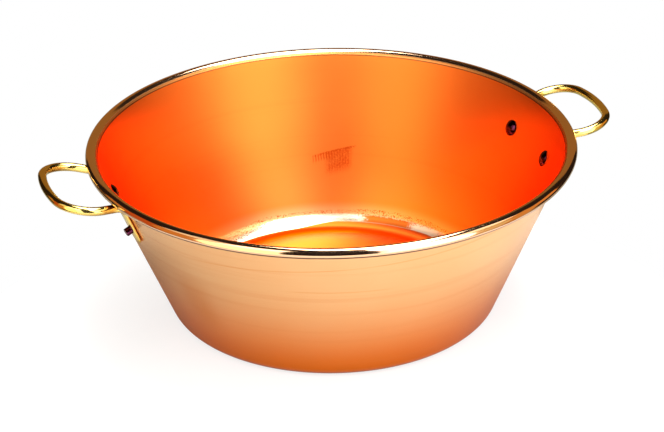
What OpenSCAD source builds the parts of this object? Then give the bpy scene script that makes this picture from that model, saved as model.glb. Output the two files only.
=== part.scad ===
// Spun copper preserving pan with a wired rim and two riveted brass loop handles.
// Millimetres, +Z up. The origin is the centre of the flat underside and the
// handles lie along X, so the front of the pan faces -Y.

/* [Pan] */
// Outside diameter over the rolled rim
rim_d = 380; // [340:1:420]
// Height from the underside to the top of the rim
pan_h = 139; // [120:1:160]
// Diameter of the flat part of the underside
base_d = 236; // [200:1:260]
// Outside radius between the floor and the wall
corner_r = 14; // [6:0.5:24]
// Thickness of the copper sheet
sheet_t = 1.2; // [0.8:0.1:2]

/* [Rolled rim] */
// Diameter of the steel wire inside the rim
wire_d = 5.4; // [4:0.1:7]
// Room between the wire and the copper rolled round it
wire_clear = 0.1; // [0.05:0.05:0.3]
// Gap where the two cut ends of the wire meet
wire_joint = 0.5; // [0.2:0.1:2]
// How far the inside of the roll overhangs the inside of the wall
rim_flare = 0.9; // [0.3:0.1:1.5]
// Inside radius of the bend that leads from the wall into the roll
flare_r = 8; // [6.5:0.5:12]
// Gap between the free edge of the roll and the wall
curl_gap = 0.3; // [0.1:0.1:0.8]

/* [Handles] */
// Diameter of the brass rod
rod_d = 6.6; // [5:0.1:8.5]
// How far the middle of the rod stands out beyond the rim
handle_reach = 35.2; // [31:0.1:60]
// Width of the loop, between the middles of its two sides
handle_w = 83; // [72:0.1:94]
// Radius of the loop's outer corners, to the middle of the rod
loop_corner_r = 23; // [12:0.5:26]
// Radius of the loop's nearly straight outer end
loop_crown_r = 120; // [60:5:400]
// How steeply the loop rises away from the pan, in degrees
handle_tilt = 10.9; // [0:0.1:20]
// Room between the rod and the underside of the rim
rod_gap = 0.4; // [0.2:0.1:2]
// Radius of the bend between a foot and its leg, to the middle of the rod
neck_r = 9; // [7:0.5:12]

/* [Handle feet] */
// Distance between the two rivets of a handle
foot_pitch = 64; // [54:0.5:74]
// Width of a flattened foot
foot_w = 11.6; // [9:0.1:16]
// Thickness of a flattened foot
foot_t = 2.9; // [2:0.1:4.5]
// Distance from the middle of the rivet to the tip of the foot
foot_tip = 13.8; // [10:0.1:24]
// Room between a foot and the wall
seat_gap = 0.05; // [0.02:0.01:0.3]
// Length over which a foot swells back to the round rod
swell_l = 13; // [9:0.5:16]

/* [Rivets] */
// Distance from the top of the rim down to the middle of a rivet
rivet_drop = 32; // [28:0.5:42]
// Diameter of a rivet's shank
rivet_d = 6.3; // [4:0.1:8]
// Room round the shank in its hole
rivet_clear = 0.05; // [0.02:0.01:0.2]
// Diameter of the head inside the pan
head_d = 13; // [11:0.1:16]
// Height of the domed head
head_h = 3.2; // [1.6:0.1:5]
// Height of the straight edge under the dome
head_edge = 0.5; // [0.2:0.1:1]
// How far the tail stands out of the foot
tail_l = 4.4; // [1:0.1:8]
// Bevel on the cut end of the tail
tail_bevel = 0.4; // [0.1:0.1:0.8]

/* [Hidden] */

$fn = 128;
copper = "#d69a6c";
brass = "#c9a440";
dark_copper = "#7a4632";
steel = "#9a9c9e";

// Profile of the sheet in the r-z plane. lean is the wall's angle from upright.
// The wall's outer face touches the corner circle and passes roll_to_wall inboard of the roll's centre.
roll_r = wire_d / 2 + wire_clear + sheet_t;
roll_c = [rim_d / 2 - roll_r, pan_h - roll_r];
corner_c = [base_d / 2, corner_r];
roll_to_wall = roll_r + rim_flare - sheet_t;
span = roll_c - corner_c;
lean = atan2(span[0], span[1]) - asin((corner_r + roll_to_wall) / norm(span));
wall_n = [cos(lean), -sin(lean)];
wall_u = [sin(lean), cos(lean)];

// The bend's circle touches the wall's inner face and holds the roll's circle
bend_out = flare_r - roll_r - rim_flare;
bend_down = sqrt(pow(flare_r - roll_r, 2) - pow(bend_out, 2));
bend_c = roll_c + bend_out * wall_n - bend_down * wall_u;
wall_a = atan2(-wall_n[1], -wall_n[0]);
bend_a = atan2(roll_c[1] - bend_c[1], roll_c[0] - bend_c[0]);
curl_a = wall_a + acos((roll_to_wall - curl_gap) / roll_r);

// Outer radius of the wall at a height
function wall_r(z) = (corner_c + corner_r * wall_n)[0] + (z - (corner_c + corner_r * wall_n)[1]) * tan(lean);

// Rivets: height, angle either side of the handle's middle, and the lift that lets a flat head
// sit in the curve of the wall
rivet_z = pan_h - rivet_drop;
rivet_r = wall_r(rivet_z);
foot_a = asin(foot_pitch / 2 / rivet_r);
inner_r = rivet_r - sheet_t / cos(lean);
head_lift = pow(head_d, 2) / 8 / (inner_r / cos(lean));

// Directions at a foot: out of the wall, up the wall and along the rim
foot_n = [cos(lean) * cos(foot_a), cos(lean) * sin(foot_a), -sin(lean)];
foot_u = [sin(lean) * cos(foot_a), sin(lean) * sin(foot_a), cos(lean)];
foot_side = [-sin(foot_a), cos(foot_a), 0];

// Middle line of a foot: on the wall's slope, half a thickness out
foot_out = seat_gap + foot_t / 2;
rivet_p = [rivet_r * cos(foot_a), rivet_r * sin(foot_a), rivet_z] + foot_out * foot_n;

// The loop's plane passes under the roll and rises outwards
loop_x = sqrt(pow(roll_c[0], 2) - pow(foot_pitch / 2, 2));
loop_z = roll_c[1] - (roll_r + rod_gap + rod_d / 2) / cos(handle_tilt);
function on_loop(x, y) = [x, y, loop_z + (x - loop_x) * tan(handle_tilt)];

// Where the foot's middle line meets the loop's plane
neck_s = (on_loop(rivet_p[0], rivet_p[1])[2] - rivet_p[2]) / (foot_u[2] - foot_u[0] * tan(handle_tilt));
neck_p = rivet_p + neck_s * foot_u;

// Plan of the loop: outer end, then a corner, then a leg that touches the corner's circle
end_x = rim_d / 2 + handle_reach;
crown_x = end_x - loop_crown_r;
corner_y = handle_w / 2 - loop_corner_r;
loop_corner_x = crown_x + sqrt(pow(loop_crown_r - loop_corner_r, 2) - pow(corner_y, 2));
to_corner = [loop_corner_x - neck_p[0], corner_y - neck_p[1]];
leg_a = atan2(to_corner[1], to_corner[0]) + asin(loop_corner_r / norm(to_corner));
crown_a = atan2(corner_y, loop_corner_x - crown_x);

// Bend between foot and leg
leg_d = unit(on_loop(cos(leg_a), sin(leg_a)) - on_loop(0, 0));
neck_turn = acos(foot_u * leg_d);
neck_in = neck_p - neck_r * tan(neck_turn / 2) * foot_u;
neck_side = unit(leg_d - (leg_d * foot_u) * foot_u);
foot_l = foot_tip + neck_s - neck_r * tan(neck_turn / 2);
function on_neck(a) = neck_in + neck_r * (sin(a) * foot_u + (1 - cos(a)) * neck_side);

function unit(v) = v / norm(v);
function smooth(x) = let (c = min(1, max(0, x))) c * c * (3 - 2 * c);
function mix(a, b, x) = a + (b - a) * x;
function arc_l(r, turned) = r * turned * PI / 180;

// Steps round the rod and along its bends. A flat of the rod faces the wall, and another faces away from it.
rod_sides = 16;
half_side_a = 180 / rod_sides;
tip_steps = 4;
neck_steps = 8;
leg_steps = 2;
corner_steps = 10;
crown_steps = 2;

// A station is [point, length along the rod from the foot's tip, width share].
// The foot ends in a half circle in plan, cut off flat where its angle is below tip_start.
tip_r = foot_w / 2;
tip_start = 20;
foot_stations = [for (i = [0:tip_steps])
    let (a = mix(tip_start, 90, i / tip_steps), s = tip_r * (1 - cos(a)))
    [neck_in - (foot_l - s) * foot_u, s, sin(a)]];
neck_stations = [for (i = [0:neck_steps])
    let (a = neck_turn * i / neck_steps)
    [on_neck(a), foot_l + arc_l(neck_r, a), 1]];
neck_end = foot_l + arc_l(neck_r, neck_turn);
corner_start = on_loop(loop_corner_x - loop_corner_r * sin(leg_a), corner_y + loop_corner_r * cos(leg_a));
leg_l = norm(corner_start - on_neck(neck_turn));
leg_end = neck_end + leg_l;
leg_stations = [for (i = [1:leg_steps])
    let (s = leg_l * i / (leg_steps + 1))
    [on_neck(neck_turn) + s * leg_d, neck_end + s, 1]];
corner_turn = leg_a + 90 - crown_a;
corner_end = leg_end + arc_l(loop_corner_r, corner_turn);
corner_stations = [for (i = [0:corner_steps])
    let (turned = corner_turn * i / corner_steps, a = leg_a + 90 - turned)
    [on_loop(loop_corner_x + loop_corner_r * cos(a), corner_y + loop_corner_r * sin(a)),
     leg_end + arc_l(loop_corner_r, turned), 1]];
crown_stations = [for (i = [1:crown_steps])
    let (turned = crown_a * i / crown_steps, a = crown_a - turned)
    [on_loop(crown_x + loop_crown_r * cos(a), loop_crown_r * sin(a)),
     corner_end + arc_l(loop_crown_r, turned), 1]];
stations = concat(foot_stations, neck_stations, leg_stations, corner_stations, crown_stations);
last = len(stations) - 1;

// Direction of the rod at each station, and the side direction carried along it without twist
function heading(i) = i == 0 ? foot_u : i == last ? [0, -1, 0]
    : unit(stations[i + 1][0] - stations[i - 1][0]);
headings = [for (i = [0:last]) i <= tip_steps ? foot_u : heading(i)];
sides = [for (i = 0, w = foot_side; i <= last; i = i + 1,
    w = i > last ? w : unit(w - (w * headings[i]) * headings[i])) w];

// Half width, half thickness and squareness of the rod: flat at the foot, round beyond the swell.
// A squareness of 2 is an ellipse, and more is a flat shape with round edges.
// The foot thins towards tip_thin of its thickness at the tip.
foot_squareness = 2.6;
tip_thin = 0.7;
function swell(s) = smooth((s - foot_l) / swell_l);
function half_w(s) = mix(foot_w, rod_d, swell(s)) / 2;
function half_t(s) = mix(foot_t, rod_d, swell(s)) / 2;
function squareness(s) = mix(foot_squareness, 2, swell(s));
function bulge(x, power) = sign(x) * pow(abs(x), 2 / power);

function ring(i) =
    let (p = stations[i][0], s = stations[i][1], share = stations[i][2], power = squareness(s),
         full = bulge(cos(half_side_a), power),
         side = sides[i] * half_w(s) / full * share,
         out = cross(sides[i], headings[i]) * half_t(s) / full * mix(tip_thin, 1, share))
    [for (k = [0:rod_sides - 1])
        let (a = (2 * k + 1) * half_side_a)
        p + side * bulge(cos(a), power) + out * bulge(sin(a), power)];

module handle_rod() {
    half = [for (i = [0:last]) ring(i)];
    other = [for (i = [last - 1:-1:0]) [for (q = half[i]) [q[0], -q[1], q[2]]]];
    rings = concat(half, other);
    count = len(rings);
    points = [for (r = rings) each r];
    skin = [for (i = [0:count - 2], k = [0:rod_sides - 1])
        let (a = i * rod_sides + k, b = i * rod_sides + (k + 1) % rod_sides)
        each [[a, b, a + rod_sides], [b, b + rod_sides, a + rod_sides]]];
    first_cap = [for (k = [rod_sides - 1:-1:0]) k];
    last_cap = [for (k = [0:rod_sides - 1]) (count - 1) * rod_sides + k];
    polyhedron(points, concat([first_cap], skin, [last_cap]));
}

// Frame of a rivet: local +Z runs out of the wall, and zero is the wall's outer face
module at_rivet(side) {
    rotate([0, 0, side * foot_a])
        translate([rivet_r, 0, rivet_z])
            rotate([0, 90 + lean, 0])
                children();
}

module rivet_bore() {
    bore_l = 4 * (foot_t + sheet_t + head_h);
    translate([0, 0, -bore_l / 2])
        cylinder(d = rivet_d + 2 * rivet_clear, h = bore_l);
}

module rivet() {
    under_head = -sheet_t - head_lift;
    tail_end = seat_gap + foot_t + tail_l;
    dome_h = head_h - head_edge;
    dome_r = (pow(head_d / 2, 2) + pow(dome_h, 2)) / (2 * dome_h);
    rotate_extrude() {
        polygon([[0, under_head], [rivet_d / 2, under_head], [rivet_d / 2, tail_end - tail_bevel],
                 [rivet_d / 2 - tail_bevel, tail_end], [0, tail_end]]);
        translate([0, under_head - head_edge])
            square([head_d / 2, head_edge]);
        intersection() {
            translate([0, under_head - head_h + dome_r])
                circle(r = dome_r);
            translate([0, under_head - head_h])
                square([head_d / 2, dome_h]);
        }
    }
}

// Part of a flat ring about a centre, between two angles less than a half turn apart
module ring_part(c, r, a, b) {
    far = 2 * r;
    translate(c)
        intersection() {
            difference() {
                circle(r = r);
                circle(r = r - sheet_t);
            }
            polygon([[0, 0], far * [cos(a), sin(a)], far * [cos((a + b) / 2), sin((a + b) / 2)],
                     far * [cos(b), sin(b)]]);
        }
}

module sheet_profile() {
    square([corner_c[0], sheet_t]);
    ring_part(corner_c, corner_r, -90, -lean);
    polygon([corner_c + corner_r * wall_n, bend_c - (flare_r - sheet_t) * wall_n,
             bend_c - flare_r * wall_n, corner_c + (corner_r - sheet_t) * wall_n]);
    ring_part(bend_c, flare_r, bend_a, wall_a);
    difference() {
        translate(roll_c)
            circle(r = roll_r);
        translate(roll_c)
            circle(r = roll_r - sheet_t);
        translate(roll_c)
            polygon([[0, 0],
                     for (a = [bend_a, (bend_a + curl_a) / 2, curl_a]) 2 * roll_r * [cos(a), sin(a)]]);
    }
}

module bowl() {
    color(copper)
        difference() {
            rotate_extrude() sheet_profile();
            for (turn = [0, 180], side = [-1, 1])
                rotate([0, 0, turn]) at_rivet(side) rivet_bore();
        }
}

module rim_wire() {
    joint_a = wire_joint / roll_c[0] * 180 / PI;
    color(steel)
        rotate([0, 0, 90 + joint_a / 2])
            rotate_extrude(angle = 360 - joint_a)
                translate(roll_c)
                    circle(d = wire_d);
}

module handle() {
    color(brass)
        difference() {
            handle_rod();
            for (side = [-1, 1])
                at_rivet(side) rivet_bore();
        }
}

module handle_left() {
    rotate([0, 0, 180]) handle();
}

module handle_right() {
    handle();
}

module placed_rivet(turn, side) {
    color(dark_copper)
        rotate([0, 0, turn]) at_rivet(side) rivet();
}

module rivet_left_front() {
    placed_rivet(180, 1);
}

module rivet_left_rear() {
    placed_rivet(180, -1);
}

module rivet_right_front() {
    placed_rivet(0, -1);
}

module rivet_right_rear() {
    placed_rivet(0, 1);
}

bowl();
rim_wire();
handle_left();
handle_right();
rivet_left_front();
rivet_left_rear();
rivet_right_front();
rivet_right_rear();
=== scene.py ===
import math
from types import SimpleNamespace

import bpy
from mathutils import Matrix, Quaternion, Vector


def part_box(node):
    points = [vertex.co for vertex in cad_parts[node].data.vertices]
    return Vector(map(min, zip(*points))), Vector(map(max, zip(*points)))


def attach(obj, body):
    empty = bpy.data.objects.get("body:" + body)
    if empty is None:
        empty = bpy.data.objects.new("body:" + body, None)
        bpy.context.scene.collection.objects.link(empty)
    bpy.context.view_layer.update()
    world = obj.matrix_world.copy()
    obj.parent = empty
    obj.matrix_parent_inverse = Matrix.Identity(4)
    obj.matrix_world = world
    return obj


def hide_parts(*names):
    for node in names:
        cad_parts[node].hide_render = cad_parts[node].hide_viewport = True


# A spun copper preserving pan with a wired rim and two riveted brass loop handles.
# Sizes are in millimetres, as on a drawing, and MM turns them into metres where a mesh is made.

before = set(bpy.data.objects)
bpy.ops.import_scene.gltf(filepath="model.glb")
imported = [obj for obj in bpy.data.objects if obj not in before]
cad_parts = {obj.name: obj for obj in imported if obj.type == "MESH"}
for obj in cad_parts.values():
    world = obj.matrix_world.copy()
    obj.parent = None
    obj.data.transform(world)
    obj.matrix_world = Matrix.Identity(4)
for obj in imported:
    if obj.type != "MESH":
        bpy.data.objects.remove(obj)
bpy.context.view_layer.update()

MM = 0.001

# Pan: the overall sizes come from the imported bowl, and the rest is the drawing's
BOWL_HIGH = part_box("bowl")[1]
RIM_R = round(BOWL_HIGH.x / MM, 1)
PAN_H = round(BOWL_HIGH.z / MM, 1)
BASE_R = 118
CORNER_R = 14
SHEET_T = 1.2

# The visible piece's own inner corner. In the photograph the reflections on the inside bend softly
# into the floor, so this corner is wider than the drawing's, and the foot of the wall is hollowed.
INNER_CORNER_R = 18
FOOT_FILL = 2.0
FOOT_FILL_L = 60

# Rolled rim
WIRE_D = 5.4
WIRE_CLEAR = 0.1
RIM_FLARE = 0.9
FLARE_R = 8
CURL_GAP = 0.3

# Handles
ROD_D = 6.6
HANDLE_REACH = 35.2
HANDLE_W = 83
LOOP_CORNER_R = 23
LOOP_CROWN_R = 120
HANDLE_TILT = 10.9
ROD_GAP = 0.4
NECK_R = 9
FOOT_PITCH = 64
FOOT_W = 11.6
FOOT_T = 2.9
FOOT_TIP = 13.8
SEAT_GAP = 0.05
SWELL_L = 13
FOOT_SQUARENESS = 2.6

# Rivets
RIVET_DROP = 32
RIVET_D = 6.3
RIVET_CLEAR = 0.05
HEAD_D = 13
HEAD_H = 3.2
HEAD_EDGE = 0.5
TAIL_L = 4.4
TAIL_BEVEL = 0.4

# Each handle's turn from +X. A rivet is on side 1 or -1 of its handle's middle: with the left handle
# turned right round, its front is on the other side.
HANDLES = {"left": 180, "right": 0}
RIVETS = {
    "rivet_left_front": ("left", 1),
    "rivet_left_rear": ("left", -1),
    "rivet_right_front": ("right", -1),
    "rivet_right_rear": ("right", 1),
}

# Fineness of the meshes: millimetres along a line, degrees along an arc
FLOOR_STEP = 12
WALL_STEP = 8
HOLLOW_STEP = 4
CORNER_STEP = 4
INNER_CORNER_STEP = 3
FLARE_STEP = 8
INNER_FLARE_STEP = 4
ROLL_STEP = 5
HIDDEN_STEP = 12
DOME_STEP = 3
BOWL_SEGMENTS = 360
RIVET_SEGMENTS = 64
DRILL_SEGMENTS = 48
SHARP_EDGE = math.radians(38)

# Stations along half a handle, and points round its rod
TIP_STEPS = 10
TIP_START = 4
TIP_THIN = 0.7
FOOT_STEPS = 8
NECK_STEPS = 16
LEG_STEPS = 8
BEND_STEPS = 20
CROWN_STEPS = 8
ROD_SIDES = 32

# Marks on the bowl, in millimetres. Turns are in degrees about Z from +X.
# The corner's ring is burnished and carries a painted highlight
RING_R = 119.6
RING_TOP = 10.0
DULL_TURN = 49
CHATTER_TURN = 71
CHATTER_R = 153
CHATTER_Z = 59.7
CHATTER_SLOPE = 0.21
CHATTER_PITCH = 2.4
SPIRAL_TURN = -107
SPIRAL_Z = 115
SPIRAL_RISE = 0.2
SHORT_LINE_Z = 92
# Where a dark reflection is painted on the outside
DARK_REFLECTION_TURN = -151
DARK_REFLECTION_Z = 58
SEAM_Z = 135.1
# How far under the roll's middle its painted crease shade begins
UNDER_ROLL = 1.4
ROLL_EDGE = 0.25

# Colours of the copper outside
OUTSIDE = (0.95, 0.57, 0.27)
OUTSIDE_CLOUD = (0.945, 0.545, 0.25)
OUTSIDE_LINE = (0.80, 0.30, 0.09)
OUTSIDE_ROLL = (0.96, 0.60, 0.36)
# Painted shade, darker and redder, towards the base
FOOT_SHADE = (0.88, 0.20, 0.0)
# Painted dark reflection at the left
DARK_REFLECTION = (0.78, 0.24, 0.02)
SCORE = (0.80, 0.28, 0.04)
# Painted shade in the crease under the roll
SEAM_SHADE = (0.07, 0.015, 0.01)

# Colours of the copper inside. Their deep red is painted reflection: it stands for light that has bounced
# between the copper walls.
INSIDE = (0.95, 0.22, 0.035)
INSIDE_CLOUD = (0.945, 0.21, 0.032)
INSIDE_LINE = (0.80, 0.17, 0.026)
INSIDE_ROLL = (0.96, 0.56, 0.31)
INSIDE_GLOSS = (1.0, 0.3, 0.05)
# Paler towards the foot
LOW_WALL_PALE = (0.95, 0.31, 0.06)
FLOOR = (0.96, 0.62, 0.50)
# Painted reflection: deep red at the floor's edge
FLOOR_EDGE_REFLECTION = (0.90, 0.10, 0.01)
CHATTER = (0.72, 0.075, 0.005)
# Painted highlight: the glow above the ring and the ring's near-white colour
HALO_HIGHLIGHT = (0.97, 0.58, 0.28)
RING_HIGHLIGHT = (1.0, 0.80, 0.56)
RING_DULL = (0.80, 0.17, 0.02)
SPECK = (0.50, 0.11, 0.01)
FLARE = (0.95, 0.34, 0.09)
# Painted shade in the crease above the wall
CREASE_SHADE = (0.16, 0.05, 0.02)

# Roughness of the copper
OUTSIDE_ROUGH = 0.26
INSIDE_ROUGH = 0.30
FLOOR_ROUGH = 0.12
RING_ROUGH = 0.22
FLARE_ROUGH = 0.28
ROLL_ROUGH = 0.08

# Colours of the other metals
BRASS_PALE = (0.93, 0.71, 0.20)
BRASS_DEEP = (0.88, 0.62, 0.17)
RIVET_PALE = (0.10, 0.02, 0.05)
RIVET_DEEP = (0.06, 0.01, 0.03)
WIRE_DARK = (0.42, 0.43, 0.44)
WIRE_PALE = (0.58, 0.58, 0.58)

# Photograph's frame and camera. The pan's middle is aimed at, and the lens is shifted to its pixel.
PHOTO_W, PHOTO_H = 664, 432
FOCAL_PX = 2100
AIM_PX = (332.7, 229.15)
AIM = Vector((0, 0, 60)) * MM
CAMERA_DISTANCE = 1663 * MM
CAMERA_TURN = -108.85
CAMERA_RISE = 26.83
CAMERA_ROLL = -1.0
SENSOR_W = 36

# Studio, in metres. The table has painted shade right round the pan, and for the camera its tone is lifted.
WORLD_LEVEL = 0.35
TABLE_R = 0.30
TABLE_SHIFT = 0.12
TABLE_SIDES = 96
TABLE_TONE = 0.54
TABLE_SHADE = 0.8
TABLE_SHADE_R = 0.16
SEEN_TONE = 0.2
LIFT_R = 0.15
LIFT_NEAR = 0.77
LIFT_FAR = 0.97
LAMP_R = 1.2
TENT_R = 2.6
TENT_LOW = -2.5
TENT_HIGH = 3.0
TENT_COLOUR = (0.02, 0.012, 0.008)
GLOSSY_BOUNCES = 12

# The large soft lamp over the pan, as in_view takes it, and how far its length is turned from the view
TOP_LAMP = (0.30, 0.26, 1.335)
TOP_LAMP_TURN = 12
TOP_LAMP_W = 0.71
TOP_LAMP_L = 1.82
TOP_LAMP_LEVEL = 8.6

# A narrow lamp behind the pan on the left, seen almost edge-on, and the way it faces
STRIP = (-0.62, -1.0, 1.1)
STRIP_FACING = (0.5, 0.85, -0.7)
STRIP_W = 0.7
STRIP_L = 0.14
STRIP_LEVEL = 3.0

# Windows of light round the pan, dimmer near the table, and redder towards the back: turns from the
# camera in degrees, heights in metres, level and colour
WINDOWS = [
    ("front_low", -22, 22, -0.5, 0.75, 1.95, (1.0, 1.0, 1.0)),
    ("front_high", -22, 22, 0.75, 2.1, 3.45, (1.0, 1.0, 1.0)),
    ("left_low", -57, -22, -0.5, 0.7, 2.05, (1.0, 0.94, 0.60)),
    ("left_high", -52, -22, 0.7, 1.95, 2.6, (1.0, 0.98, 0.9)),
    ("far_left_low", -79, -57, -0.5, 0.7, 0.62, (1.0, 0.40, 0.08)),
    ("red_left_low", -97, -79, -0.5, 0.7, 0.48, (1.0, 0.18, 0.02)),
    ("far_left_high", -80, -52, 0.7, 1.85, 1.0, (1.0, 0.90, 0.70)),
    ("right_low", 22, 60, -0.5, 0.7, 3.1, (1.0, 0.98, 0.95)),
    ("right_high", 22, 60, 0.7, 1.5, 3.6, (1.0, 1.0, 1.0)),
    ("far_right_low", 60, 78, -0.5, 0.75, 0.75, (1.0, 0.76, 0.36)),
    ("red_right_low", 78, 95, -0.5, 0.75, 0.66, (1.0, 0.45, 0.10)),
    ("far_right_high", 60, 88, 0.7, 1.47, 1.6, (1.0, 0.93, 0.80)),
    ("warm_left", -112, -97, 0.05, 0.55, 0.5, (1.0, 0.40, 0.08)),
    ("warm_right", 95, 110, 0.05, 0.55, 0.7, (1.0, 0.42, 0.10)),
]

# Cards that only reflections show: left and right sides in metres as the camera has them, low and
# high edges as (front, up), and colour
CARDS = [
    ("brown_card", -0.86, 0.86, (-1.0, -0.05), (-1.0, 0.85), (0.29, 0.15, 0.04)),
    ("pale_card", -0.5, 0.45, (-0.95, -0.02), (0.1, -0.02), (0.43, 0.43, 0.36)),
    ("black_card", -0.165, 0.145, (0.49, 0.0), (0.49, 0.57), (0.01, 0.005, 0.005)),
    ("black_card_over", -0.165, 0.145, (0.49, 0.57), (0.19, 1.25), (0.01, 0.005, 0.005)),
]


def at_angle(degrees, radius=1.0):
    """A point on a circle about zero, in an outline's plane of radius and height."""
    return radius * Vector((math.cos(math.radians(degrees)), math.sin(math.radians(degrees))))


def angle_of(v):
    """An outline direction's angle in degrees."""
    return math.degrees(math.atan2(v.y, v.x))


def smooth(x):
    """A soft step from 0 to 1."""
    c = min(1.0, max(0.0, x))
    return c * c * (3 - 2 * c)


def mix(a, b, x):
    """A number or point that is a share x of the way from a to b."""
    return a + (b - a) * x


# Slope of the wall, from the circles that it touches
ROLL_R = WIRE_D / 2 + WIRE_CLEAR + SHEET_T
ROLL_C = Vector((RIM_R - ROLL_R, PAN_H - ROLL_R))
CORNER_C = Vector((BASE_R, CORNER_R))
ROLL_TO_WALL = ROLL_R + RIM_FLARE - SHEET_T
SPAN = ROLL_C - CORNER_C
LEAN = 90 - angle_of(SPAN) - math.degrees(math.asin((CORNER_R + ROLL_TO_WALL) / SPAN.length))
WALL_N = at_angle(-LEAN)
WALL_U = at_angle(90 - LEAN)

# The bend that leads from the wall into the roll
BEND_OUT = FLARE_R - ROLL_R - RIM_FLARE
BEND_C = ROLL_C + BEND_OUT * WALL_N - math.sqrt((FLARE_R - ROLL_R) ** 2 - BEND_OUT ** 2) * WALL_U
WALL_A = angle_of(-WALL_N)
BEND_A = angle_of(ROLL_C - BEND_C)
CURL_A = WALL_A - 360 + math.degrees(math.acos((ROLL_TO_WALL - CURL_GAP) / ROLL_R))


def wall_r(z):
    """Outer radius of the wall at a height."""
    foot = CORNER_C + CORNER_R * WALL_N
    return foot.x + (z - foot.y) * math.tan(math.radians(LEAN))


# Where a rivet goes through the wall, and the three directions there
RIVET_Z = PAN_H - RIVET_DROP
RIVET_R = wall_r(RIVET_Z)
FOOT_A = math.degrees(math.asin(FOOT_PITCH / 2 / RIVET_R))
INNER_R = RIVET_R - SHEET_T / WALL_N.x
HEAD_LIFT = HEAD_D ** 2 / 8 / (INNER_R / WALL_N.x)
FOOT_N = Matrix.Rotation(math.radians(FOOT_A), 3, "Z") @ Vector((WALL_N.x, 0, WALL_N.y))
FOOT_U = Matrix.Rotation(math.radians(FOOT_A), 3, "Z") @ Vector((WALL_U.x, 0, WALL_U.y))
FOOT_SIDE = Matrix.Rotation(math.radians(FOOT_A), 3, "Z") @ Vector((0, 1, 0))


class Wire:
    """A node's output socket that can be used in sums."""

    def __init__(self, tree, socket):
        self.tree = tree
        self.socket = socket

    def __getitem__(self, name):
        return Wire(self.tree, self.socket.node.outputs[name])

    def math(self, operation, *values):
        return self.tree.add("ShaderNodeMath", {"operation": operation}, *values)

    def __add__(self, other):
        return self.math("ADD", self, other)

    def __radd__(self, other):
        return self.math("ADD", other, self)

    def __sub__(self, other):
        return self.math("SUBTRACT", self, other)

    def __rsub__(self, other):
        return self.math("SUBTRACT", other, self)

    def __mul__(self, other):
        return self.math("MULTIPLY", self, other)

    def __rmul__(self, other):
        return self.math("MULTIPLY", other, self)

    def __truediv__(self, other):
        return self.math("DIVIDE", self, other)

    def function(self, operation):
        """A Math node with one value, such as a sine."""
        return self.math(operation, self)

    def larger(self, other):
        return self.math("MAXIMUM", self, other)

    def smaller(self, other):
        return self.math("MINIMUM", self, other)

    def over(self, limit):
        return self.math("GREATER_THAN", self, limit)

    def under(self, limit):
        return self.math("LESS_THAN", self, limit)

    def between(self, low, high):
        """0 where this is low, 1 where it is high, and smooth between."""
        ends = {"interpolation_type": "SMOOTHSTEP"}
        return self.tree.add("ShaderNodeMapRange", ends, value=self, from_min=low, from_max=high)

    def band(self, middle, half_width, edge):
        """1 within half_width of the middle, and 0 beyond a soft edge."""
        away = (self - middle).function("ABSOLUTE")
        return 1 - away.between(half_width, half_width + edge)


class Tree:
    """A node tree that is written as expressions."""

    def __init__(self, tree):
        self.tree = tree
        self.tree.nodes.clear()

    def add(self, kind, settings=None, *values, **named):
        """A node: its settings first, then its sockets' values or links, in order or by name."""
        node = self.tree.nodes.new(kind)
        for key, value in (settings or {}).items():
            setattr(node, key, value)
        inputs = [s for s in node.inputs if s.enabled]
        for s, value in zip(inputs, values):
            self.put(s, value)
        for name, value in named.items():
            self.put(next(s for s in inputs if s.name.lower().replace(" ", "_") == name), value)
        outputs = [s for s in node.outputs if s.enabled]
        return Wire(self, outputs[0]) if outputs else None

    def put(self, socket, value):
        if isinstance(value, Wire):
            self.tree.links.new(value.socket, socket)
        elif socket.type == "RGBA":
            socket.default_value = (*value, 1)
        else:
            socket.default_value = value

    def mix_colour(self, factor, a, b):
        return self.add("ShaderNodeMix", {"data_type": "RGBA"}, factor=factor, a=a, b=b)

    def mix_number(self, factor, a, b):
        return self.add("ShaderNodeMix", {"data_type": "FLOAT"}, factor=factor, a=a, b=b)

    def point(self, x, y, z):
        return self.add("ShaderNodeCombineXYZ", None, x, y, z)

    def noise(self, vector, scale, detail):
        """Noise about one half."""
        return self.add("ShaderNodeTexNoise", None, vector=vector, scale=scale, detail=detail)

    def bump(self, height, distance, strength):
        return self.add("ShaderNodeBump", None, strength=strength, distance=distance, height=height)

    def metal(self, colour, roughness, normal, **constants):
        """A metal whose colour, roughness and bump may vary. Anything else is one value."""
        return self.add("ShaderNodeBsdfPrincipled", None, base_color=colour, metallic=1.0,
                        roughness=roughness, normal=normal, **constants)

    def surface(self, shader):
        """The end of a material."""
        self.add("ShaderNodeOutputMaterial", None, surface=shader)


def new_material(name):
    material = bpy.data.materials.new(name)
    material.use_nodes = True
    return material, Tree(material.node_tree)


def place_in(tree):
    """Object position, its three parts, and the radius from the pan's axis, in metres."""
    position = tree.add("ShaderNodeTexCoord")["Object"]
    parts = tree.add("ShaderNodeSeparateXYZ", None, position)
    radius = (parts["X"] * parts["X"] + parts["Y"] * parts["Y"]).function("SQRT")
    return position, parts, radius


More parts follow.
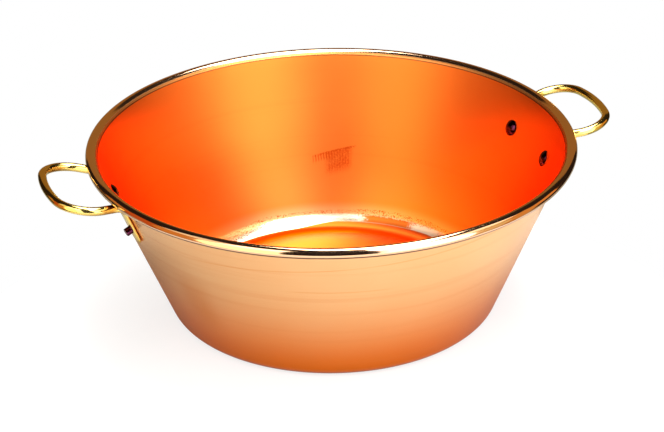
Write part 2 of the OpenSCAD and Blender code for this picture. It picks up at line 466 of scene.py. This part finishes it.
def copper_zones(t):
    """Places on the bowl, in millimetres and degrees, the noises that its finishes share, and a mask
    for the inside and for the roll."""
    at = SimpleNamespace()
    position, parts, radius = place_in(t)
    at.radius = radius / MM
    at.height = parts["Z"] / MM
    at.turn = parts["Y"].math("ARCTAN2", parts["Y"], parts["X"]) * math.degrees(1)

    def from_circle(point):
        """Distance from a circle round the axis, given as its radius and height."""
        across, up = at.radius - point.x, at.height - point.y
        return (across * across + up * up).function("SQRT")

    # The inside is the side of the sheet's middle that faces the axis
    half = SHEET_T / 2
    foot = CORNER_C + CORNER_R * WALL_N
    across, up = at.radius - foot.x, at.height - foot.y
    beyond = across * WALL_N.x + up * WALL_N.y
    along_wall = across * WALL_U.x + up * WALL_U.y
    on_wall = along_wall.over(0) * beyond.under(-half)
    on_floor = at.radius.under(BASE_R) * at.height.over(half)
    in_corner = from_circle(CORNER_C).under(CORNER_R - half)
    at.inside = on_wall.larger(on_floor).larger(in_corner)
    at.roll = from_circle(ROLL_C).under(ROLL_R + ROLL_EDGE)

    # Turning lines, the grain and pits of the copper, and the clouds that polishing leaves
    x, y = parts["X"] / MM, parts["Y"] / MM
    along = at.radius + at.height
    at.lines = t.noise(t.point(x * 0.003, y * 0.003, along * 0.16), 1.0, detail=3)
    fine_lines = t.noise(t.point(x * 0.006, y * 0.006, along * 0.9), 1.0, detail=2)
    at.grain = t.noise(t.point(x * 0.8, y * 0.8, at.height * 0.8), 1.0, detail=2)
    at.pits = t.noise(t.point(x * 1.1, y * 1.1, at.height * 1.1), 1.0, detail=1)
    at.cloud = t.noise(position, 9.0, detail=3)
    at.hue = t.noise(position, 14.0, detail=2).between(0.35, 0.65)
    at.normal = t.bump(at.lines + 0.3 * fine_lines, 0.01 * MM, strength=0.3)
    at.scored = at.lines.between(0.55, 0.72) * 0.2
    return at


def outside_finish(t, at):
    """Polished copper, paler at the top, with painted shade that darkens and reddens it towards the base,
    and painted shade under the roll.
    """
    height, turn = at.height, at.turn
    colour = t.mix_colour(at.hue, OUTSIDE, OUTSIDE_CLOUD)
    # Painted shade: darker and redder towards the base, paler at the top
    foot_shade = 1 - height.between(-5, 95)
    colour = t.mix_colour(foot_shade, colour, FOOT_SHADE)
    colour = t.mix_colour(at.scored, colour, OUTSIDE_LINE)

    # A faint painted dark reflection at the left, and a score that climbs round the front, with a short line
    # under it
    dark_reflection = turn.band(DARK_REFLECTION_TURN, 1, 8) * height.band(DARK_REFLECTION_Z, 8, 26)
    colour = t.mix_colour(dark_reflection * 0.4, colour, DARK_REFLECTION)
    spiral = height - (turn - SPIRAL_TURN) * SPIRAL_RISE
    score = spiral.band(SPIRAL_Z, 0.1, 0.7) * turn.band(SPIRAL_TURN, 34, 14)
    score = score + height.band(SHORT_LINE_Z, 0.1, 0.6) * turn.band(SPIRAL_TURN, 8, 8)
    colour = t.mix_colour(score * at.cloud.between(0.3, 0.55) * 0.45, colour, SCORE)

    colour = t.mix_colour(at.roll, colour, OUTSIDE_ROLL)
    # Painted shade in the crease under the roll
    roll_crease_shade = at.roll * (ROLL_C.y - height).between(UNDER_ROLL, UNDER_ROLL + 0.6)
    colour = t.mix_colour(roll_crease_shade, colour, SEAM_SHADE)
    rough = OUTSIDE_ROUGH + 0.04 * (at.cloud - 0.5) + 0.03 * (at.lines - 0.5)
    return t.metal(colour, t.mix_number(at.roll, rough, ROLL_ROUGH), at.normal, anisotropic=0.7)


def chatter_marks(at):
    """Marks of the spinning tool under a slanting edge: a comb of short lines and a rough patch."""
    side = (CHATTER_TURN - at.turn) * math.radians(CHATTER_R)
    drop = CHATTER_Z + CHATTER_SLOPE * side - at.height
    edge = drop.between(-0.4, 0.8)
    ripple = (side * (math.tau / CHATTER_PITCH) + 3 * at.lines).function("SINE")
    comb = edge * (1 - drop.between(4, 7)) * side.between(-19, -15) * (1 - side.between(-4, 2))
    patch = edge * (1 - drop.between(13, 21)) * side.between(-9, 0) * (1 - side.between(13, 20))
    dark_edge = drop.band(0.9, 0.5, 0.6) * side.band(2, 16, 4) * at.grain.between(0.42, 0.55)
    marks = comb * ripple.between(-0.6, 0.8) * 0.8 + dark_edge * 0.8
    marks = marks + patch * (0.62 + 0.15 * ripple + 1.8 * (at.grain - 0.5))
    return marks.smaller(1.0).larger(0.0)


def inside_finish(t, at):
    """Satin copper, paler towards the foot, with a burnished ring in the corner that carries a painted
    highlight, and a polished floor.
    """
    radius, height, turn = at.radius, at.height, at.turn
    colour = t.mix_colour(at.hue, INSIDE, INSIDE_CLOUD)
    colour = t.mix_colour(at.scored, colour, INSIDE_LINE)
    # Paler and more orange towards the foot
    pale_low = 1 - height.between(8, 62)
    colour = t.mix_colour(pale_low * 0.7, colour, LOW_WALL_PALE)

    # The ring is burnished, and its near-white colour is a painted highlight. It is of uneven width, with a
    # painted glow and specks above it, and it is dull at one place, where the painted highlight gives way to
    # copper
    ring_top = RING_TOP - 4.6 * turn.band(116, 4, 20)
    ring_low = RING_R + 4.2 * turn.band(50, 18, 20)
    below_top = ring_top - height
    ring = (below_top + 2.5 * (at.grain - 0.5)).between(-0.4, 0.4)
    ring = ring * radius.between(ring_low - 0.5, ring_low + 0.5)
    dull = (turn + 8 * (at.grain - 0.5)).band(DULL_TURN, 8, 4)
    ends = turn.band(110, 10, 8) + turn.band(46, 12, 8)
    specks = below_top.band(-1.6, 1.0 + 1.6 * ends, 1.0)
    specks = specks * at.pits.between(0.50, 0.56) * at.grain.between(0.42, 0.50)
    halo_highlight = (1 - height.between(9, 21)) * radius.over(ring_low)
    floor = radius.under(ring_low)
    # Painted reflection: the floor's edge is deep red, as the walls would show in it
    floor_edge_reflection = floor * radius.between(92, 115)

    colour = t.mix_colour(floor, colour, FLOOR)
    colour = t.mix_colour(floor_edge_reflection, colour, FLOOR_EDGE_REFLECTION)
    colour = t.mix_colour(chatter_marks(at), colour, CHATTER)
    colour = t.mix_colour(halo_highlight * 0.8, colour, HALO_HIGHLIGHT)
    colour = t.mix_colour(ring, colour, RING_HIGHLIGHT)
    colour = t.mix_colour(ring * dull, colour, RING_DULL)
    colour = t.mix_colour(specks, colour, SPECK)

    # Above the wall the sheet flares out into the roll, past a crease with painted shade in it
    flare = height.over(SEAM_Z)
    colour = t.mix_colour(flare, colour, FLARE)
    crease_shade = height.band(SEAM_Z, 0.25, 0.25)
    colour = t.mix_colour(crease_shade * 0.85, colour, CREASE_SHADE)
    colour = t.mix_colour(at.roll, colour, INSIDE_ROLL)

    rough = t.mix_number(floor, INSIDE_ROUGH + 0.04 * (at.cloud - 0.5), FLOOR_ROUGH)
    rough = t.mix_number(floor_edge_reflection, rough, INSIDE_ROUGH)
    rough = t.mix_number(ring, rough, RING_ROUGH + 0.12 * turn.band(44, 14, 6))
    rough = t.mix_number(flare, rough, FLARE_ROUGH)
    rough = t.mix_number(at.roll, rough, ROLL_ROUGH)
    return t.metal(colour, rough, at.normal, specular_tint=INSIDE_GLOSS, anisotropic=0.85)


def spun_copper():
    """The bowl's sheet: satin inside and polished outside."""
    material, t = new_material("spun_copper")
    at = copper_zones(t)
    outside, inside = outside_finish(t, at), inside_finish(t, at)
    t.surface(t.add("ShaderNodeMixShader", None, at.inside, outside, inside))
    return material


def polished_brass():
    """Bent brass rod, polished by hand after it was bent."""
    material, t = new_material("polished_brass")
    position, parts, _ = place_in(t)
    cloud = t.noise(position, 60.0, detail=3)
    scuffs = t.noise(t.point(parts["X"] * 300, parts["Y"] * 300, parts["Z"] * 1500), 1.0, detail=3)
    colour = t.mix_colour(cloud.between(0.35, 0.7), BRASS_PALE, BRASS_DEEP)
    roughness = 0.07 + 0.06 * cloud + 0.05 * scuffs
    t.surface(t.metal(colour, roughness, t.bump(cloud, 0.1 * MM, strength=0.3)))
    return material


def dark_copper():
    """Rivets that darkened when they were set."""
    material, t = new_material("dark_copper")
    position, _, _ = place_in(t)
    cloud = t.noise(position, 320.0, detail=3)
    colour = t.mix_colour(cloud.between(0.4, 0.65), RIVET_PALE, RIVET_DEEP)
    t.surface(t.metal(colour, 0.05 + 0.07 * cloud, t.bump(cloud, 0.08 * MM, strength=0.4)))
    return material


def drawn_wire():
    """Steel wire with the fine lines of the die that it was drawn through."""
    material, t = new_material("drawn_wire")
    _, parts, radius = place_in(t)
    lines = t.noise(t.point(radius * 4000, 0, parts["Z"] * 4000), 1.0, detail=2)
    colour = t.mix_colour(lines, WIRE_DARK, WIRE_PALE)
    t.surface(t.metal(colour, 0.3 + 0.15 * lines, t.bump(lines, 0.02 * MM, strength=0.4)))
    return material


def turning_tree():
    """Geometry nodes that turn an outline round Z into a closed solid, then tip and place it."""
    group = bpy.data.node_groups.new("turned_on_a_lathe", "GeometryNodeTree")
    face = group.interface
    face.new_socket("Outline", in_out="INPUT", socket_type="NodeSocketGeometry")
    face.new_socket("Segments", in_out="INPUT", socket_type="NodeSocketInt")
    face.new_socket("Tip", in_out="INPUT", socket_type="NodeSocketRotation")
    face.new_socket("Place", in_out="INPUT", socket_type="NodeSocketVector")
    face.new_socket("Finish", in_out="INPUT", socket_type="NodeSocketMaterial")
    face.new_socket("Solid", in_out="OUTPUT", socket_type="NodeSocketGeometry")
    t = Tree(group)
    given = t.add("NodeGroupInput")
    size = t.add("GeometryNodeAttributeDomainSize", {"component": "MESH"}, geometry=given["Outline"])
    rows = size["Point Count"]
    grid = t.add("GeometryNodeMeshGrid", None, size_x=1.0, size_y=1.0,
                 vertices_x=given["Segments"] + 1, vertices_y=rows)
    here = t.add("GeometryNodeInputPosition")
    flat = t.add("ShaderNodeSeparateXYZ", None, here)
    turn = (flat["X"] + 0.5) * math.tau
    row = ((flat["Y"] + 0.5) * (rows - 1)).function("ROUND")
    sample = t.add("GeometryNodeSampleIndex", {"data_type": "FLOAT_VECTOR"},
                   geometry=given["Outline"], value=here, index=row)
    point = t.add("ShaderNodeSeparateXYZ", None, sample)
    turned = t.point(point["X"] * turn.function("COSINE"), point["X"] * turn.function("SINE"),
                     point["Z"])
    solid = t.add("GeometryNodeSetPosition", None, geometry=grid, position=turned)
    solid = t.add("GeometryNodeMergeByDistance", None, geometry=solid, distance=0.001 * MM)
    solid = t.add("GeometryNodeSetShadeSmooth", None, solid)
    solid = t.add("GeometryNodeTransform", None, geometry=solid, translation=given["Place"],
                  rotation=given["Tip"])
    solid = t.add("GeometryNodeRealizeInstances", None, solid)
    solid = t.add("GeometryNodeSetMaterial", None, geometry=solid, material=given["Finish"])
    t.add("NodeGroupOutput", None, solid)
    return group


def new_object(name, vertices, edges=(), faces=()):
    mesh = bpy.data.meshes.new(name)
    mesh.from_pydata([tuple(v) for v in vertices], list(edges), list(faces))
    obj = bpy.data.objects.new(name, mesh)
    bpy.context.scene.collection.objects.link(obj)
    return obj


def plain_mesh(obj, name):
    """The object with its modifiers taken into a new mesh, as a new object."""
    graph = bpy.context.evaluated_depsgraph_get()
    mesh = bpy.data.meshes.new_from_object(obj.evaluated_get(graph))
    mesh.name = name
    old = obj.data
    bpy.data.objects.remove(obj)
    bpy.data.meshes.remove(old)
    piece = bpy.data.objects.new(name, mesh)
    bpy.context.scene.collection.objects.link(piece)
    return piece


def turned_piece(name, outline, segments, finish, tip=(0, 0, 0), place=(0, 0, 0)):
    """An outline of (radius, height) points in millimetres, turned round its axis, tipped and placed."""
    points = [(r * MM, 0, z * MM) for r, z in outline]
    blank = new_object("outline", points, [(i, i + 1) for i in range(len(points) - 1)])
    modifier = blank.modifiers.new("turn", "NODES")
    modifier.node_group = LATHE
    sockets = {s.name: s.identifier for s in LATHE.interface.items_tree if s.in_out == "INPUT"}
    modifier[sockets["Segments"]] = segments
    modifier[sockets["Tip"]] = tip
    modifier[sockets["Place"]] = [c * MM for c in place]
    modifier[sockets["Finish"]] = finish
    piece = plain_mesh(blank, name)
    piece.data.set_sharp_from_angle(angle=SHARP_EDGE)
    return piece


def arc(centre, radius, start, end, step):
    """Points along an arc, its angles in degrees."""
    count = max(2, math.ceil(abs(end - start) / step))
    return [centre + at_angle(mix(start, end, i / count), radius) for i in range(count + 1)]


def line(start, end, step):
    """Points between two ends, without the ends."""
    count = max(1, round((end - start).length / step))
    return [start.lerp(end, i / count) for i in range(1, count)]


def inner_foot():
    """The inside's outline from the straight wall down to the floor. Over its last FOOT_FILL_L the
    wall bends gently away from the drawing's, by FOOT_FILL where the wider corner begins."""
    steepened = math.degrees(math.atan(2 * FOOT_FILL / FOOT_FILL_L))
    end_a = -LEAN - steepened
    end_z = SHEET_T + INNER_CORNER_R + at_angle(end_a, INNER_CORNER_R).y
    line_z = end_z + FOOT_FILL * WALL_N.y
    on_line = Vector((wall_r(line_z) - SHEET_T / WALL_N.x, line_z))
    hollow = []
    for u in range(FOOT_FILL_L, -1, -HOLLOW_STEP):
        fill = FOOT_FILL * (1 - u / FOOT_FILL_L) ** 2
        hollow.append(on_line + u * WALL_U - fill * WALL_N)
    centre = hollow[-1] - at_angle(end_a, INNER_CORNER_R)
    return hollow + arc(centre, INNER_CORNER_R, end_a, -90, INNER_CORNER_STEP)[1:]


def bowl_outline():
    """The sheet's cross-section, from the axis underneath, out, up, round the wire and back."""
    under = [Vector((0, 0))] + line(Vector((0, 0)), Vector((BASE_R, 0)), FLOOR_STEP)
    outside = arc(CORNER_C, CORNER_R, -90, -LEAN, CORNER_STEP)
    wall_top = BEND_C + at_angle(WALL_A, FLARE_R - SHEET_T)
    outside += line(outside[-1], wall_top, WALL_STEP)
    outside += arc(BEND_C, FLARE_R - SHEET_T, WALL_A, BEND_A, FLARE_STEP)
    hidden = arc(ROLL_C, ROLL_R - SHEET_T, BEND_A, CURL_A, HIDDEN_STEP)[1:]
    roll = arc(ROLL_C, ROLL_R, CURL_A, BEND_A, ROLL_STEP)
    inside = arc(BEND_C, FLARE_R, BEND_A, WALL_A, INNER_FLARE_STEP)[1:]
    foot = inner_foot()
    inside += line(inside[-1], foot[0], WALL_STEP) + foot
    middle = Vector((0, SHEET_T))
    inside += line(foot[-1], middle, FLOOR_STEP) + [middle]
    return under + outside + hidden + roll + inside


def rivet_outline():
    """A rivet with its head down: height zero is the wall's outer face."""
    under_head = -SHEET_T - HEAD_LIFT
    tail_end = SEAT_GAP + FOOT_T + TAIL_L
    dome_h = HEAD_H - HEAD_EDGE
    dome_r = ((HEAD_D / 2) ** 2 + dome_h ** 2) / (2 * dome_h)
    dome_c = Vector((0, under_head - HEAD_H + dome_r))
    reach = math.degrees(math.asin(HEAD_D / 2 / dome_r))
    shank = RIVET_D / 2
    return arc(dome_c, dome_r, -90, -90 + reach, DOME_STEP) + [
        Vector((HEAD_D / 2, under_head)),
        Vector((shank, under_head)),
        Vector((shank, tail_end - TAIL_BEVEL)),
        Vector((shank - TAIL_BEVEL, tail_end)),
        Vector((0, tail_end)),
    ]


def rivet_place(turn, side):
    """How far a rivet is tipped, and where it is on the wall, for a handle's turn and one of its sides."""
    spin = Matrix.Rotation(math.radians(turn + side * FOOT_A), 4, "Z")
    tip = spin @ Matrix.Rotation(math.radians(90 + LEAN), 4, "Y")
    return tip, spin @ Vector((RIVET_R, 0, RIVET_Z))


def loop_path():
    """Stations of half a handle, from a foot's tip to the middle of the loop.
    Each is a point, its length along the rod and its share of the full width."""
    tilt = math.tan(math.radians(HANDLE_TILT))
    rivet_p = Vector((RIVET_R * math.cos(math.radians(FOOT_A)), FOOT_PITCH / 2, RIVET_Z))
    rivet_p += (SEAT_GAP + FOOT_T / 2) * FOOT_N
    loop_x = math.sqrt(ROLL_C.x ** 2 - (FOOT_PITCH / 2) ** 2)
    loop_z = ROLL_C.y - (ROLL_R + ROD_GAP + ROD_D / 2) / math.cos(math.radians(HANDLE_TILT))

    def on_loop(x, y):
        return Vector((x, y, loop_z + (x - loop_x) * tilt))

    neck_s = (on_loop(*rivet_p.xy).z - rivet_p.z) / (FOOT_U.z - FOOT_U.x * tilt)
    neck_p = rivet_p + neck_s * FOOT_U

    crown_x = RIM_R + HANDLE_REACH - LOOP_CROWN_R
    corner_y = HANDLE_W / 2 - LOOP_CORNER_R
    corner_x = crown_x + math.sqrt((LOOP_CROWN_R - LOOP_CORNER_R) ** 2 - corner_y ** 2)
    to_corner = Vector((corner_x, corner_y)) - neck_p.xy
    leg_a = angle_of(to_corner) + math.degrees(math.asin(LOOP_CORNER_R / to_corner.length))
    crown_a = angle_of(Vector((corner_x - crown_x, corner_y)))

    along_leg = at_angle(leg_a)
    leg_d = (on_loop(*along_leg) - on_loop(0, 0)).normalized()
    neck_turn = FOOT_U.angle(leg_d)
    neck_in = neck_p - NECK_R * math.tan(neck_turn / 2) * FOOT_U
    neck_side = (leg_d - leg_d.dot(FOOT_U) * FOOT_U).normalized()
    foot_l = FOOT_TIP + neck_s - NECK_R * math.tan(neck_turn / 2)

    stations = []
    tip_r = FOOT_W / 2
    for i in range(TIP_STEPS + 1):
        a = math.radians(mix(TIP_START, 90, i / TIP_STEPS))
        s = tip_r * (1 - math.cos(a))
        stations.append((neck_in - (foot_l - s) * FOOT_U, s, math.sin(a)))
    for i in range(1, FOOT_STEPS):
        s = mix(tip_r, foot_l, i / FOOT_STEPS)
        stations.append((neck_in - (foot_l - s) * FOOT_U, s, 1.0))
    for i in range(NECK_STEPS + 1):
        a = neck_turn * i / NECK_STEPS
        p = neck_in + NECK_R * (math.sin(a) * FOOT_U + (1 - math.cos(a)) * neck_side)
        stations.append((p, foot_l + NECK_R * a, 1.0))
    done = foot_l + NECK_R * neck_turn
    leg_start = stations[-1][0]
    corner_start = Vector((corner_x, corner_y)) + at_angle(leg_a + 90, LOOP_CORNER_R)
    leg_l = (on_loop(*corner_start) - leg_start).length
    for i in range(1, LEG_STEPS):
        s = leg_l * i / LEG_STEPS
        stations.append((leg_start + s * leg_d, done + s, 1.0))
    done += leg_l
    corner_turn = leg_a + 90 - crown_a
    for i in range(BEND_STEPS + 1):
        turned = corner_turn * i / BEND_STEPS
        p = Vector((corner_x, corner_y)) + at_angle(leg_a + 90 - turned, LOOP_CORNER_R)
        stations.append((on_loop(*p), done + math.radians(turned) * LOOP_CORNER_R, 1.0))
    done = stations[-1][1]
    for i in range(1, CROWN_STEPS + 1):
        turned = crown_a * i / CROWN_STEPS
        p = Vector((crown_x, 0)) + at_angle(crown_a - turned, LOOP_CROWN_R)
        stations.append((on_loop(*p), done + math.radians(turned) * LOOP_CROWN_R, 1.0))
    return stations, foot_l


def rod_rings(stations, foot_l):
    """Rings of points round the rod: flat and square-edged at the foot, round beyond the swell."""
    last = len(stations) - 1
    side = FOOT_SIDE
    rings = []
    for i, (p, s, share) in enumerate(stations):
        if i <= TIP_STEPS:
            heading = FOOT_U
        elif i == last:
            heading = Vector((0, -1, 0))
        else:
            heading = (stations[i + 1][0] - stations[i - 1][0]).normalized()
        side = (side - side.dot(heading) * heading).normalized()
        swell = smooth((s - foot_l) / SWELL_L)
        half_w = mix(FOOT_W, ROD_D, swell) / 2 * share
        half_t = mix(FOOT_T, ROD_D, swell) / 2 * mix(TIP_THIN, 1, share)
        power = 2 / mix(FOOT_SQUARENESS, 2, swell)
        out = side.cross(heading)
        ring = []
        for k in range(ROD_SIDES):
            c, d = at_angle(360 * k / ROD_SIDES)
            across = math.copysign(abs(c) ** power, c) * half_w
            up = math.copysign(abs(d) ** power, d) * half_t
            ring.append(p + across * side + up * out)
        rings.append(ring)
    return rings


def rod_mesh(name, turn, finish):
    """One whole handle, turned about Z from +X, with a hole through each foot."""
    half = rod_rings(*loop_path())
    other = [[Vector((q.x, -q.y, q.z)) for q in ring] for ring in reversed(half[:-1])]
    rings = half + other
    spin = Matrix.Rotation(math.radians(turn), 3, "Z")
    points = [spin @ q * MM for ring in rings for q in ring]
    faces = []
    for i in range(len(rings) - 1):
        for k in range(ROD_SIDES):
            a, b = i * ROD_SIDES + k, i * ROD_SIDES + (k + 1) % ROD_SIDES
            faces.append((a, b, b + ROD_SIDES, a + ROD_SIDES))
    faces.append(tuple(reversed(range(ROD_SIDES))))
    faces.append(tuple(range(len(points) - ROD_SIDES, len(points))))
    rod = new_object(name + "_rod", points, faces=faces)
    rod.data.materials.append(finish)
    rod.data.shade_smooth()
    return drilled(rod, name, [(turn, -1), (turn, 1)])


def drilled(blank, name, holes):
    """The piece with a rivet's hole through it at each place of (turn, side)."""
    bore_r = RIVET_D / 2 + RIVET_CLEAR
    reach = 2 * (FOOT_T + SHEET_T + HEAD_H)
    outline = [Vector(p) for p in ((0, -reach), (bore_r, -reach), (bore_r, reach), (0, reach))]
    for turn, side in holes:
        tip, place = rivet_place(turn, side)
        drill = turned_piece("drill", outline, DRILL_SEGMENTS, None, tip.to_euler(), place)
        cut = blank.modifiers.new("hole", "BOOLEAN")
        cut.operation = "DIFFERENCE"
        cut.object = drill
    drills = [m.object for m in blank.modifiers]
    piece = plain_mesh(blank, name)
    for drill in drills:
        bpy.data.objects.remove(drill)
    piece.data.set_sharp_from_angle(angle=SHARP_EDGE)
    return piece


def hand_over(piece, node):
    """Every piece stands for one node of the frame, and nothing on the pan moves."""
    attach(piece, "root")
    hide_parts(node)


def towards(turn, rise):
    """A direction from its turn about Z, from +X, and its rise above the floor, in degrees."""
    turn, rise = math.radians(turn), math.radians(rise)
    return Vector((math.cos(turn) * math.cos(rise), math.sin(turn) * math.cos(rise), math.sin(rise)))


def aimed(direction):
    """The rotation of a camera that stands in that direction and looks back."""
    return (-direction).to_track_quat("-Z", "Y")


def photo_camera():
    data = bpy.data.cameras.new("camera")
    camera = bpy.data.objects.new("camera", data)
    bpy.context.scene.collection.objects.link(camera)
    data.sensor_width = SENSOR_W
    data.lens = FOCAL_PX / PHOTO_W * SENSOR_W
    data.shift_x = (PHOTO_W / 2 - AIM_PX[0]) / PHOTO_W
    data.shift_y = (AIM_PX[1] - PHOTO_H / 2) / PHOTO_W
    direction = towards(CAMERA_TURN, CAMERA_RISE)
    camera.location = AIM + CAMERA_DISTANCE * direction
    camera.rotation_mode = "QUATERNION"
    roll = Quaternion((0, 0, 1), math.radians(CAMERA_ROLL))
    camera.rotation_quaternion = aimed(direction) @ roll
    bpy.context.scene.camera = camera


def in_view(right, front, up):
    """A point in metres: right of the pan and in front of it as the camera has it, and up from the floor."""
    return right * towards(CAMERA_TURN + 90, 0) + front * towards(CAMERA_TURN, 0) + Vector((0, 0, up))


def softbox(name, middle, facing, width, height, level, colour=(1, 1, 1), up=Vector((0, 0, 1))):
    """A soft lamp. Its level is the brightness of its front, and up is where its height runs."""
    data = bpy.data.lights.new(name, "AREA")
    data.shape = "RECTANGLE"
    data.size = width
    data.size_y = height
    data.energy = level * width * height * math.pi
    data.color = colour
    lamp = bpy.data.objects.new(name, data)
    bpy.context.scene.collection.objects.link(lamp)
    lamp.location = middle
    back = -facing.normalized()
    across = up.cross(back).normalized()
    axes = Matrix((across, back.cross(across), back)).transposed()
    lamp.rotation_mode = "QUATERNION"
    lamp.rotation_quaternion = axes.to_quaternion()
    lamp.visible_camera = False


def standing_softbox(name, start, end, low, high, level, colour):
    """A softbox that stands upright round the pan between two turns from the camera."""
    turn = (start + end) / 2
    width = 2 * LAMP_R * math.tan(math.radians((end - start) / 2))
    outward = towards(CAMERA_TURN + turn, 0)
    middle = LAMP_R * outward + Vector((0, 0, (low + high) / 2))
    softbox(name, middle, -outward, width, high - low, level, colour)


def studio_world():
    """A white background, dimmer as a light than as the camera, metal and glass show it."""
    world = bpy.data.worlds.new("studio")
    bpy.context.scene.world = world
    world.use_nodes = True
    t = Tree(world.node_tree)
    rays = t.add("ShaderNodeLightPath")
    seen = rays["Is Camera Ray"] + rays["Is Glossy Ray"] + rays["Is Transmission Ray"]
    level = t.mix_number(seen.smaller(1.0), WORLD_LEVEL, 1.0)
    background = t.add("ShaderNodeBackground", None, color=(1.0, 1.0, 1.0), strength=level)
    t.add("ShaderNodeOutputWorld", None, surface=background)


def pale_table():
    """A round table top that keeps the pan's shadow. For the camera it is lifted towards white, most at
    its edge, where it meets the background. Other rays find a pale top, with painted shade round the pan."""
    centre = TABLE_SHIFT * at_angle(CAMERA_TURN)
    edge = [centre + at_angle(360 * i / TABLE_SIDES, TABLE_R) for i in range(TABLE_SIDES)]
    table = new_object("table", [(x, y, 0) for x, y in edge], faces=[tuple(range(TABLE_SIDES))])
    material, t = new_material("pale_table")
    camera = t.add("ShaderNodeLightPath")["Is Camera Ray"]
    position, _, radius = place_in(t)
    away = t.add("ShaderNodeVectorMath", {"operation": "DISTANCE"}, position, (*centre, 0))["Value"]
    far = away.between(LIFT_R, TABLE_R)
    grain = t.noise(position, 40.0, detail=3)
    # Painted shade on the table round the pan's base
    shade = t.mix_number(radius.between(BASE_R * MM, TABLE_SHADE_R), TABLE_SHADE, 1.0)
    tone = t.mix_number(camera, TABLE_TONE * shade, SEEN_TONE + 0.02 * grain)
    lift = camera * t.mix_number(far, LIFT_NEAR, LIFT_FAR)
    diffuse = t.add("ShaderNodeBsdfDiffuse", None, color=t.mix_colour(tone, (0, 0, 0), (1, 1, 1)))
    light = t.add("ShaderNodeEmission", None, color=(1, 1, 1), strength=lift)
    t.surface(t.add("ShaderNodeAddShader", None, diffuse, light))
    table.data.materials.append(material)


def even_tone(name, colour):
    """A tone that looks the same in any light."""
    material, t = new_material(name)
    t.surface(t.add("ShaderNodeEmission", None, color=colour, strength=1.0))
    return material


def dark_tent():
    """A dark tent round the lamps. The camera doesn't see it, and it gives the metal its dark bands."""
    foot = [at_angle(360 * i / TABLE_SIDES, TENT_R) for i in range(TABLE_SIDES)]
    points = [(x, y, z) for z in (TENT_LOW, TENT_HIGH) for x, y in foot]
    faces = []
    for i in range(TABLE_SIDES):
        j = (i + 1) % TABLE_SIDES
        faces.append((i, i + TABLE_SIDES, j + TABLE_SIDES, j))
    faces.append(tuple(range(TABLE_SIDES)))
    faces.append(tuple(reversed(range(TABLE_SIDES, 2 * TABLE_SIDES))))
    tent = new_object("tent", points, faces=faces)
    tent.data.materials.append(even_tone("dark_cloth", TENT_COLOUR))
    tent.visible_camera = False


def card(name, left, right, low, high, colour):
    """A flat card between two sides and two edges, as the list of cards gives them."""
    corners = [(left, *low), (right, *low), (right, *high), (left, *high)]
    sheet = new_object(name, [in_view(*corner) for corner in corners], faces=[(0, 1, 2, 3)])
    sheet.data.materials.append(even_tone(name, colour))
    sheet.visible_camera = False
    sheet.visible_diffuse = False
    sheet.visible_shadow = False


def lights():
    along = -towards(CAMERA_TURN + TOP_LAMP_TURN, 0)
    softbox("softbox_top", in_view(*TOP_LAMP), Vector((0, 0, -1)), TOP_LAMP_W, TOP_LAMP_L,
            TOP_LAMP_LEVEL, up=along)
    for window in WINDOWS:
        standing_softbox(*window)
    softbox("strip", in_view(*STRIP), Vector(STRIP_FACING), STRIP_W, STRIP_L, STRIP_LEVEL)
    for sheet in CARDS:
        card(*sheet)


bpy.context.scene.view_settings.view_transform = "Standard"
bpy.context.scene.cycles.glossy_bounces = GLOSSY_BOUNCES

photo_camera()
studio_world()
pale_table()
dark_tent()
lights()

LATHE = turning_tree()
COPPER = spun_copper()
BRASS = polished_brass()
RIVET_COPPER = dark_copper()

blank = turned_piece("bowl_blank", bowl_outline(), BOWL_SEGMENTS, COPPER)
holes = [(HANDLES[handle], side) for handle, side in RIVETS.values()]
hand_over(drilled(blank, "copper_bowl", holes), "bowl")

for handle, turn in HANDLES.items():
    hand_over(rod_mesh(f"brass_handle_{handle}", turn, BRASS), f"handle_{handle}")

for node, (handle, side) in RIVETS.items():
    tip, place = rivet_place(HANDLES[handle], side)
    tip = tip.to_euler()
    piece = turned_piece(f"set_{node}", rivet_outline(), RIVET_SEGMENTS, RIVET_COPPER, tip, place)
    hand_over(piece, node)

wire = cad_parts["rim_wire"]
wire.data.materials.clear()
wire.data.materials.append(drawn_wire())
